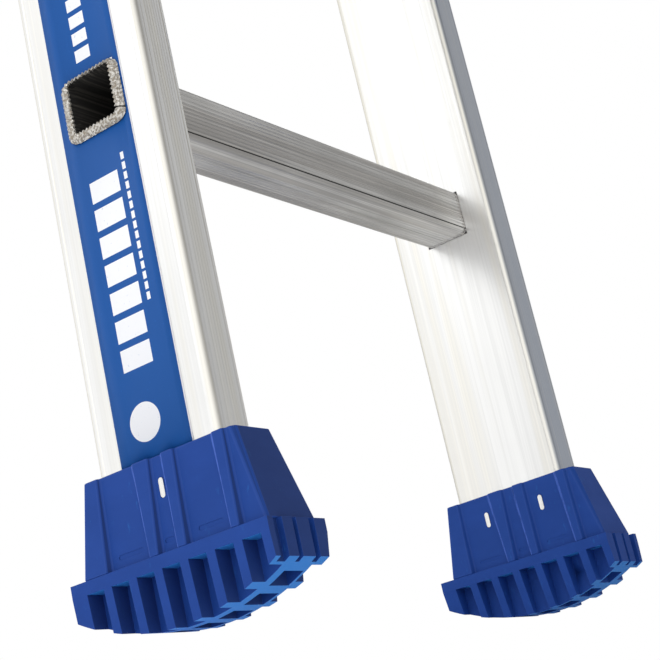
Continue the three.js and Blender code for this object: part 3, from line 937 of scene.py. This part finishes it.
def build_sleeve(word, side):
    shoe = bpy.context.scene.ladder_shoes
    node = f"shoe_sleeve_{word}"
    low, high = upright_box(node)
    middle_x = (low.x + high.x) / 2
    top_loop, foot_loop = sleeve_loops(node, shoe)
    socket_x, socket_y, floor = 12.3 * MM, 36.8 * MM, 3 * MM
    bm = bmesh.new()
    mark = bm.verts.layers.int.new("outline_point")
    outer = ring(bm, top_loop)
    for vert, number in zip(bm.verts, range(len(top_loop))):
        vert[mark] = number
    grown = bmesh.ops.extrude_edge_only(bm, edges=outer)["geom"]
    verts = [part for part in grown if isinstance(part, bmesh.types.BMVert)]
    for vert in verts:
        vert.co = foot_loop[vert[mark]]
    foot_edges = [part for part in grown if isinstance(part, bmesh.types.BMEdge)
                  and all(vert in verts for vert in part.verts)]
    bmesh.ops.contextual_create(bm, geom=foot_edges)
    corners = [(1, 1), (-1, 1), (-1, -1), (1, -1)]
    inner = ring(bm, [(a * socket_x, b * socket_y, high.z) for a, b in corners])
    bmesh.ops.triangle_fill(bm, edges=outer + inner, use_beauty=True)
    floor_edges = extrude_edges(bm, inner, (0, 0, low.z + floor - high.z))
    bmesh.ops.contextual_create(bm, geom=floor_edges)
    bmesh.ops.translate(bm, verts=bm.verts, vec=(middle_x, 0, 0))
    mend(bm)
    piece = add_piece(bm, f"sleeve_{word}", "base", ["shoe_plastic"], [node])
    piece.data.materials.append(finish_named("edge_highlight"))
    cutter = bmesh.new()
    for face, y in WINDOWS:
        reach = face * side
        slot_block(cutter, middle_x + reach * 11 * MM, middle_x + reach * 30 * MM,
                   y * MM, WINDOW_HEIGHT, *WINDOW_SIZE)
    for reach in (-1, 1):
        for y, length in MOULD_MARKS:
            slot_block(cutter, middle_x + reach * (shoe.panel_foot - 0.7 * MM), middle_x + reach * 30 * MM,
                       y * MM, low.z + 5.5 * MM, length * MM, 2.2 * MM)
    round_edges(piece, shoe.rib_rounding, edge_slot=1)
    cut_away(piece, cutter)
    piece.data.set_sharp_from_angle(angle=math.radians(32))
    even_out_shading(piece)


def build_windows(word, side):
    """The bright tongues behind a sleeve's windows, which hold it to the stile."""
    low, high = upright_box(f"shoe_sleeve_{word}")
    middle_x = (low.x + high.x) / 2
    bm = bmesh.new()
    for face, y in WINDOWS:
        reach = face * side
        length, height = WINDOW_SIZE
        slot_block(bm, middle_x + reach * 12.35 * MM, middle_x + reach * 15.1 * MM,
                   y * MM, WINDOW_HEIGHT, length - 0.2 * MM, height - 0.2 * MM)
    mend(bm)
    piece = add_piece(bm, f"window_tongues_{word}", "base", ["stile_aluminium"])
    round_edges(piece, 0.2 * MM)


# ---- shoe soles ----
# Grooves down the sole's ends, as spans across it from the outer side.
END_GROOVES = ((-16.6, -10.4), (-3.3, -0.7), (8.3, 12))
END_GROOVE_DEPTH = 3 * MM
SOLE_PLATE_FOOT = 26 * MM
POCKET_CEILING = 16 * MM
OUTER_TAPER_SHARE = 0.35  # the outer side leans in less than the inner one
POCKET_SPAN = (-5 * MM, 8.4 * MM)
POCKET_LENGTH = 9.4 * MM
POCKET_SHIFT = 3 * MM
ARC_RADIUS = 116 * MM
ARC_Y = -1 * MM
TREAD_FOOT = 0.15 * MM


def arc_height(y):
    """Height of the curved tread at a place along the sole."""
    return TREAD_FOOT + ARC_RADIUS - math.sqrt(ARC_RADIUS ** 2 - (y - ARC_Y) ** 2)


def build_sole(word, side):
    shoe = bpy.context.scene.ladder_shoes
    node = f"shoe_sole_{word}"
    low, high = upright_box(node)
    middle_x = (low.x + high.x) / 2
    half = (high.x - low.x) / 2
    top = upright_box(f"shoe_sleeve_{word}")[0].z
    slot_x = half - shoe.slot_depth
    first = 41.7 * MM
    rows = [first - shoe.slot_pitch * row for row in range(shoe.slot_rows)]
    slots = [(middle - shoe.slot_length / 2, middle + shoe.slot_length / 2) for middle in rows]
    grooves = [(start * MM, end * MM) for start, end in END_GROOVES]

    pockets = [(middle + POCKET_SHIFT - POCKET_LENGTH / 2, middle + POCKET_SHIFT + POCKET_LENGTH / 2)
               for middle in rows]

    columns = {-half, half, -slot_x, slot_x, *POCKET_SPAN}
    columns.update(edge for groove in grooves for edge in groove)
    lines = {low.y, high.y, low.y + END_GROOVE_DEPTH, high.y - END_GROOVE_DEPTH}
    lines.update(edge for span in slots + pockets for edge in span)
    columns, lines = sorted(columns), sorted(lines)

    def in_groove(x, y):
        at_end = y < low.y + END_GROOVE_DEPTH or y > high.y - END_GROOVE_DEPTH
        return at_end and any(start < x < end for start, end in grooves)

    def in_slot(x, y):
        return abs(x) > slot_x and any(start < y < end for start, end in slots)

    def in_pocket(x, y):
        across = POCKET_SPAN[0] < x < POCKET_SPAN[1]
        return across and any(start < y < end for start, end in pockets)

    def cells(faces, left_out):
        kept = []
        for face in faces:
            centre = face.calc_center_median()
            if not left_out(centre.x, centre.y):
                kept.append(face)
        return kept

    bm = bmesh.new()
    verts = [bm.verts.new((x, lines[0], top)) for x in columns]
    edges = [bm.edges.new(pair) for pair in zip(verts, verts[1:])]
    for start, end in zip(lines, lines[1:]):
        edges = [edge for edge in extrude_edges(bm, edges, (0, end - start, 0))
                 if abs(edge.verts[0].co.y - edge.verts[1].co.y) < 1e-7]
    kept = cells(bm.faces, in_groove)
    bmesh.ops.delete(bm, geom=[face for face in bm.faces if face not in kept], context="FACES")
    plate = extrude_faces(bm, bm.faces[:], (0, 0, SOLE_PLATE_FOOT - top), keep=True)
    block = extrude_faces(bm, cells(plate, in_slot), (0, 0, POCKET_CEILING - SOLE_PLATE_FOOT))
    tread = extrude_faces(bm, cells(block, in_pocket), (0, 0, -1 * MM))
    for vert in {vert for face in tread for vert in face.verts}:
        vert.co.z = arc_height(vert.co.y)
    for vert in bm.verts:
        beyond = abs(vert.co.x) - slot_x
        if beyond > 0 and vert.co.z < SOLE_PLATE_FOOT:
            share = OUTER_TAPER_SHARE if vert.co.x < 0 else 1
            lean_in = share * shoe.side_taper * (SOLE_PLATE_FOOT - vert.co.z)
            reach = slot_x + beyond * (1 - lean_in / shoe.slot_depth)
            vert.co.x = math.copysign(reach, vert.co.x)
    mend(bm)
    bmesh.ops.dissolve_limit(bm, angle_limit=math.radians(0.5), verts=bm.verts, edges=bm.edges)
    if side > 0:
        bmesh.ops.scale(bm, verts=bm.verts, vec=(-1, 1, 1))
        bmesh.ops.recalc_face_normals(bm, faces=bm.faces)
    bmesh.ops.translate(bm, verts=bm.verts, vec=(middle_x, 0, 0))
    piece = add_piece(bm, f"sole_{word}", "base", ["shoe_plastic", "edge_highlight"], [node])
    round_edges(piece, shoe.edge_rounding, edge_slot=1)


# ---- rivets ----
def domed_head(bm, centre, out, radius, height):
    """A rivet's domed head, spun about its axis."""
    steps = 5
    profile = [(radius, 0)]
    for step in range(steps + 1):
        turn = math.pi / 2 * step / steps
        profile.append((radius * 0.94 * math.cos(turn), height * 0.25 + height * 0.75 * math.sin(turn)))
    profile[-1] = (0, height)
    verts = [bm.verts.new((reach, 0, up)) for reach, up in profile]
    verts.append(bm.verts.new((0, 0, 0)))
    loop = verts[-1:] + verts[:-1]
    edges = [bm.edges.new(pair) for pair in zip(loop, loop[1:])]
    spun = bmesh.ops.spin(
        bm, geom=loop + edges, cent=(0, 0, 0), axis=(0, 0, 1), angle=math.tau, steps=20,
        use_merge=True)
    made = {vert for vert in bm.verts if vert.tag is False}
    turn = Vector((0, 0, 1)).rotation_difference(Vector(out)).to_matrix().to_4x4()
    bmesh.ops.transform(bm, verts=list(made), matrix=Matrix.Translation(centre) @ turn)
    for vert in made:
        vert.tag = True
    return spun


def build_rivets(name, body, heads, replaces=(), material="zinc_steel"):
    """Rivet heads: each with its centre, its outward direction, its radius and its height."""
    bm = bmesh.new()
    for centre, out, radius, height in heads:
        domed_head(bm, centre, out, radius, height)
    mend(bm)
    add_piece(bm, name, body, [material], replaces)


# ---- operators ----
class LADDER_OT_stiles(Operator):
    """Build the four hollow stiles."""

    bl_idname = "ladder.stiles"
    bl_label = "Stiles"

    def execute(self, context):
        for section in SECTIONS:
            for word, side in SIDES:
                build_stile(section, word, side)
        return {"FINISHED"}


class LADDER_OT_rungs(Operator):
    """Build the fluted rungs with their flared ends."""

    bl_idname = "ladder.rungs"
    bl_label = "Rungs"

    def execute(self, context):
        for section in SECTIONS:
            for number in range(1, len(rung_heights(section)) + 1):
                build_rung(section, number)
        return {"FINISHED"}


class LADDER_OT_bands(Operator):
    """Build the printed bands on the stiles' outer faces."""

    bl_idname = "ladder.bands"
    bl_label = "Printed bands"

    def execute(self, context):
        for section in SECTIONS:
            for word, side in SIDES:
                build_label(section, word, side)
        return {"FINISHED"}


class LADDER_OT_sleeves(Operator):
    """Build the ribbed sleeves of the shoes, and the tongues behind their windows."""

    bl_idname = "ladder.sleeves"
    bl_label = "Shoe sleeves"

    def execute(self, context):
        for word, side in SIDES:
            build_sleeve(word, side)
            build_windows(word, side)
        return {"FINISHED"}


class LADDER_OT_soles(Operator):
    """Build the curved, slotted soles of the shoes."""

    bl_idname = "ladder.soles"
    bl_label = "Shoe soles"

    def execute(self, context):
        for word, side in SIDES:
            build_sole(word, side)
        return {"FINISHED"}


class LADDER_OT_caps(Operator):
    """Build the plastic caps on the stiles' ends."""

    bl_idname = "ladder.caps"
    bl_label = "End caps"

    def execute(self, context):
        for word, side in SIDES:
            for node, body in (("base_cap", "base"), ("fly_top_cap", "fly"), ("fly_foot_cap", "fly")):
                softened_copy(f"{node}_{word}", f"cap_{node}_{word}", body,
                              "cap_plastic", 1.4 * MM)
        return {"FINISHED"}


class LADDER_OT_guides(Operator):
    """Build the channels that keep the two sections together, with their rivets."""

    bl_idname = "ladder.guides"
    bl_label = "Guides"

    def execute(self, context):
        for section in SECTIONS:
            for word, side in SIDES:
                node = f"{section}_guide_{word}"
                softened_copy(node, f"guide_{section}_{word}", section,
                              "cast_aluminium", 0.9 * MM)
                low, high = upright_box(node)
                stile_low, stile_high = upright_box(f"{section}_stile_{word}")
                stile_y = (stile_low.y + stile_high.y) / 2
                face = low.x if side < 0 else high.x
                middle_z = (low.z + high.z) / 2
                heads = []
                for y in (-20 * MM, 20 * MM):
                    for z in (-17 * MM, 17 * MM):
                        heads.append(((face, stile_y + y, middle_z + z), (side, 0, 0), 4 * MM, 1.9 * MM))
                build_rivets(f"guide_rivets_{section}_{word}", section, heads)
        return {"FINISHED"}


class LADDER_OT_hooks(Operator):
    """Build the hooks, the catches and the catches' pins."""

    bl_idname = "ladder.hooks"
    bl_label = "Hooks and catches"

    def execute(self, context):
        for word, side in SIDES:
            softened_copy(f"hook_{word}", f"rung_hook_{word}", "fly",
                          "cast_aluminium", 1.1 * MM)
            softened_copy(f"catch_{word}", f"rung_catch_{word}", f"catch_{word}",
                          "zinc_steel", 0.8 * MM)
            softened_copy(f"catch_pin_{word}", f"pin_{word}", "fly",
                          "zinc_steel", 0.5 * MM)
        return {"FINISHED"}


class LADDER_OT_shoe_rivets(Operator):
    """Build the rivet through the back of each shoe's sleeve."""

    bl_idname = "ladder.shoe_rivets"
    bl_label = "Shoe rivets"

    def execute(self, context):
        for word, side in SIDES:
            node = f"shoe_rivet_{word}"
            low, high = upright_box(node)
            centre = Vector(((low.x + high.x) / 2, low.y, (low.z + high.z) / 2))
            head = (centre, (0, 1, 0), (high.x - low.x) / 2, high.y - low.y)
            build_rivets(f"rivet_{word}", "base", [head], [node])
        return {"FINISHED"}


class LADDER_OT_stage(Operator):
    """Set up the pale floor, the soft studio light and the camera."""

    bl_idname = "ladder.stage"
    bl_label = "Stage"

    def execute(self, context):
        lay_floor()
        light_studio(context.scene)
        place_camera(context.scene)
        return {"FINISHED"}


# ---- stage ----
# Soft boxes round the room: direction, where each fades out and is full, and strength.
SOFT_BOXES = (
    ((-0.72, 0.68, 0.16), -0.4, 0.78, 0.98),
    ((0.8, -0.42, 0.42), 0.62, 0.9, 0.5),
    ((-0.58, -0.81, 0.1), 0.5, 0.95, 0.65),
)
ROOM_GLOW = 0.06


def lay_floor():
    bm = bmesh.new()
    bmesh.ops.create_grid(bm, x_segments=1, y_segments=1, size=60)
    mesh = bpy.data.meshes.new("floor")
    bm.to_mesh(mesh)
    bm.free()
    material = bpy.data.materials.new("pale_floor")
    material.use_nodes = True
    tree = material.node_tree
    surface = tree.nodes["Principled BSDF"]
    surface.inputs["Base Color"].default_value = (0.8, 0.8, 0.8, 1)
    surface.inputs["Emission Color"].default_value = (1, 1, 1, 1)
    place = tree.nodes.new("ShaderNodeTexCoord")
    split = tree.nodes.new("ShaderNodeSeparateXYZ")
    glow = tree.nodes.new("ShaderNodeMapRange")
    glow.inputs["From Min"].default_value = 0.3
    glow.inputs["From Max"].default_value = -0.3
    glow.inputs["To Min"].default_value = 0.05
    glow.inputs["To Max"].default_value = 0.6
    tree.links.new(place.outputs["Object"], split.inputs[0])
    tree.links.new(split.outputs["X"], glow.inputs["Value"])
    tree.links.new(glow.outputs["Result"], surface.inputs["Emission Strength"])
    surface.inputs["Roughness"].default_value = 0.9
    surface.inputs["Specular IOR Level"].default_value = 0
    white = tree.nodes.new("ShaderNodeEmission")
    seen = tree.nodes.new("ShaderNodeLightPath")
    choice = tree.nodes.new("ShaderNodeMixShader")
    tree.links.new(seen.outputs["Is Camera Ray"], choice.inputs[0])
    tree.links.new(surface.outputs[0], choice.inputs[1])
    tree.links.new(white.outputs[0], choice.inputs[2])
    tree.links.new(choice.outputs[0], tree.nodes["Material Output"].inputs["Surface"])
    mesh.materials.append(material)
    floor = bpy.data.objects.new("floor", mesh)
    floor.location.z = -0.5 * MM
    bpy.context.scene.collection.objects.link(floor)


def light_studio(scene):
    """A white room for the eye that is brighter on the left than it is in front of the ladder."""
    world = bpy.data.worlds.new("studio")
    scene.world = world
    world.use_nodes = True
    tree = world.node_tree
    tree.nodes.clear()
    coordinates = tree.nodes.new("ShaderNodeTexCoord")
    total = None
    for direction, dark_from, bright_from, strength in SOFT_BOXES:
        facing = tree.nodes.new("ShaderNodeVectorMath")
        facing.operation = "DOT_PRODUCT"
        facing.inputs[1].default_value = Vector(direction).normalized()
        tree.links.new(coordinates.outputs["Generated"], facing.inputs[0])
        glow = tree.nodes.new("ShaderNodeMapRange")
        glow.interpolation_type = "SMOOTHSTEP"
        glow.inputs["From Min"].default_value = dark_from
        glow.inputs["From Max"].default_value = bright_from
        glow.inputs["To Max"].default_value = strength
        tree.links.new(facing.outputs["Value"], glow.inputs["Value"])
        added = tree.nodes.new("ShaderNodeMath")
        added.operation = "ADD"
        added.inputs[1].default_value = ROOM_GLOW
        tree.links.new(glow.outputs["Result"], added.inputs[0])
        if total:
            tree.links.new(total, added.inputs[1])
        total = added.outputs[0]
    seen = tree.nodes.new("ShaderNodeLightPath")
    choice = tree.nodes.new("ShaderNodeMix")
    tree.links.new(seen.outputs["Is Camera Ray"], choice.inputs[0])
    tree.links.new(total, choice.inputs[2])
    choice.inputs[3].default_value = 1.0
    background = tree.nodes.new("ShaderNodeBackground")
    background.inputs["Color"].default_value = (1, 1, 1, 1)
    tree.links.new(choice.outputs[0], background.inputs["Strength"])
    output = tree.nodes.new("ShaderNodeOutputWorld")
    tree.links.new(background.outputs[0], output.inputs["Surface"])
    add_light("key", (-2.6, 0.9, 1.7), (0, -0.2, 0.3), 1.6, 7)
    scene.view_settings.view_transform = "Standard"


def add_light(name, place, target, size, power):
    lamp = bpy.data.lights.new(name, "AREA")
    lamp.size = size
    lamp.energy = power
    light = bpy.data.objects.new(name, lamp)
    light.location = place
    light.rotation_euler = (Vector(target) - Vector(place)).to_track_quat("-Z", "Y").to_euler()
    bpy.context.scene.collection.objects.link(light)


def place_camera(scene):
    """A low view from the climber's left, close to the shoes and looking a little upwards."""
    view = bpy.data.cameras.new("camera")
    view.lens = 85.5
    view.sensor_width = 36
    view.clip_start = 0.01
    view.clip_end = 200
    camera = bpy.data.objects.new("camera", view)
    camera.location = (-0.6882, -0.7357, 0.0255)
    camera.rotation_euler = (math.radians(98.87), 0, math.radians(-54.6))
    scene.collection.objects.link(camera)
    scene.camera = camera


# ---- panel and registration ----
STEPS = (
    LADDER_OT_stage,
    LADDER_OT_stiles,
    LADDER_OT_rungs,
    LADDER_OT_bands,
    LADDER_OT_sleeves,
    LADDER_OT_soles,
    LADDER_OT_shoe_rivets,
    LADDER_OT_caps,
    LADDER_OT_guides,
    LADDER_OT_hooks,
)
GROUPS = (
    ("ladder_metal", LadderMetalSizes),
    ("ladder_shoes", LadderShoeSizes),
    ("ladder_colours", LadderColours),
)


class LADDER_PT_panel(Panel):
    """Sizes, colours and steps of the ladder."""

    bl_idname = "LADDER_PT_panel"
    bl_label = "Extension ladder"
    bl_space_type = "VIEW_3D"
    bl_region_type = "UI"
    bl_category = "Ladder"

    def draw(self, context):
        for name, group in GROUPS:
            box = self.layout.box()
            for setting in group.__annotations__:
                box.prop(getattr(context.scene, name), setting)
        for step in STEPS:
            self.layout.operator(step.bl_idname)


def register():
    for name, group in GROUPS:
        bpy.utils.register_class(group)
        setattr(bpy.types.Scene, name, PointerProperty(type=group))
    for kind in (*STEPS, LADDER_PT_panel):
        bpy.utils.register_class(kind)


def unregister():
    for kind in (LADDER_PT_panel, *reversed(STEPS)):
        bpy.utils.unregister_class(kind)
    for name, group in reversed(GROUPS):
        delattr(bpy.types.Scene, name)
        bpy.utils.unregister_class(group)


def main():
    register()
    for step in STEPS:
        family, name = step.bl_idname.split(".")
        getattr(getattr(bpy.ops, family), name)()


if __name__ == "__main__":
    main()
